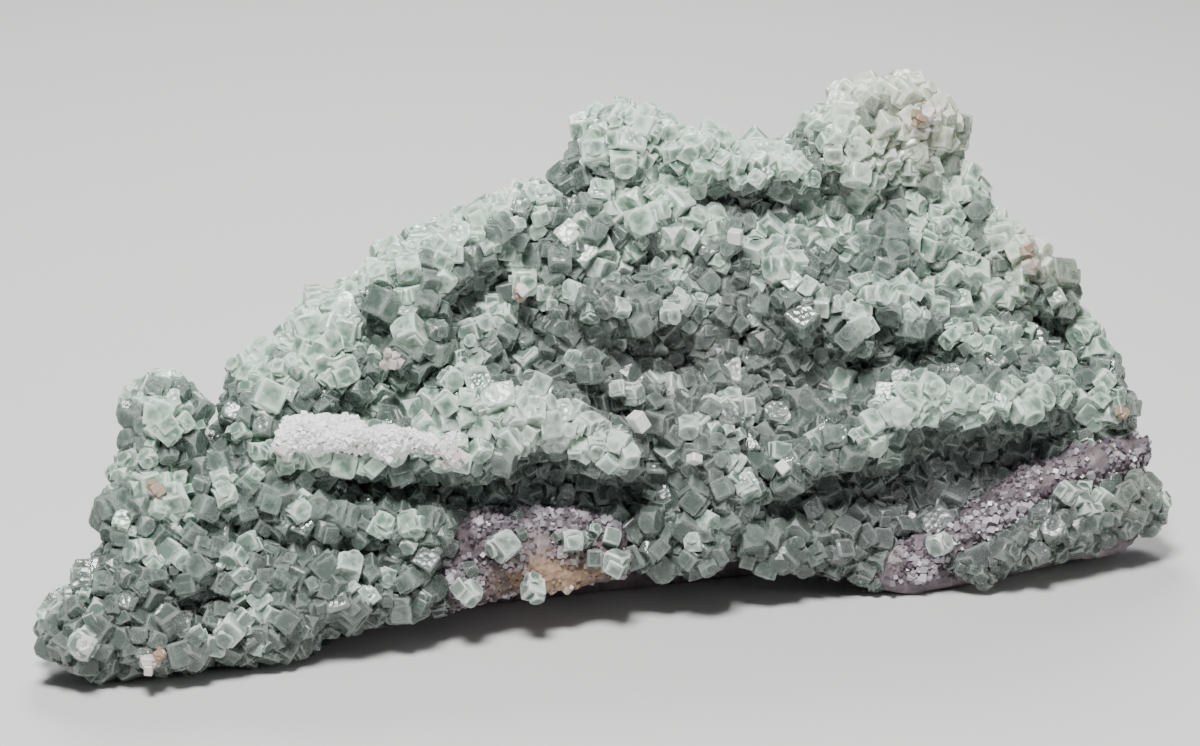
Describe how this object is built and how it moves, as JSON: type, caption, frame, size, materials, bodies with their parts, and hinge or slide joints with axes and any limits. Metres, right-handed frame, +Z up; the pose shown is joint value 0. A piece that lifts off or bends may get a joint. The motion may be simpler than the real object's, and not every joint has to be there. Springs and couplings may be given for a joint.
{
  "type": "mineral specimen",
  "caption": "Cabinet-size cluster of grown-together green fluorite cubes over a broken slab of rock, which stands on its flat underside.",
  "frame": {"origin": "a point on the rock's flat underside, on the table, under the middle of the specimen", "axes": "+X along the length, to the right as seen from the crystal side; -Y out of the crystal side; +Z up"},
  "size_m": [0.1988, 0.062, 0.0861],
  "materials": {
    "rock": "rough, purple-grey, broken",
    "fluorite": "glossy, milky green, see-through at the edges",
    "white_crystal": "sugary, white"
  },
  "bodies": {
    "root": {"matrix_rock": "rock", "fluorite_crust": "fluorite", "foot_crust": "fluorite", "white_crust": "white_crystal", "lone_crystal_1": "fluorite", "lone_crystal_2": "fluorite", "lone_crystal_3": "fluorite", "lone_crystal_4": "fluorite", "lone_crystal_5": "fluorite", "lone_crystal_6": "fluorite", "lone_crystal_7": "fluorite"}
  },
  "joints": []
}
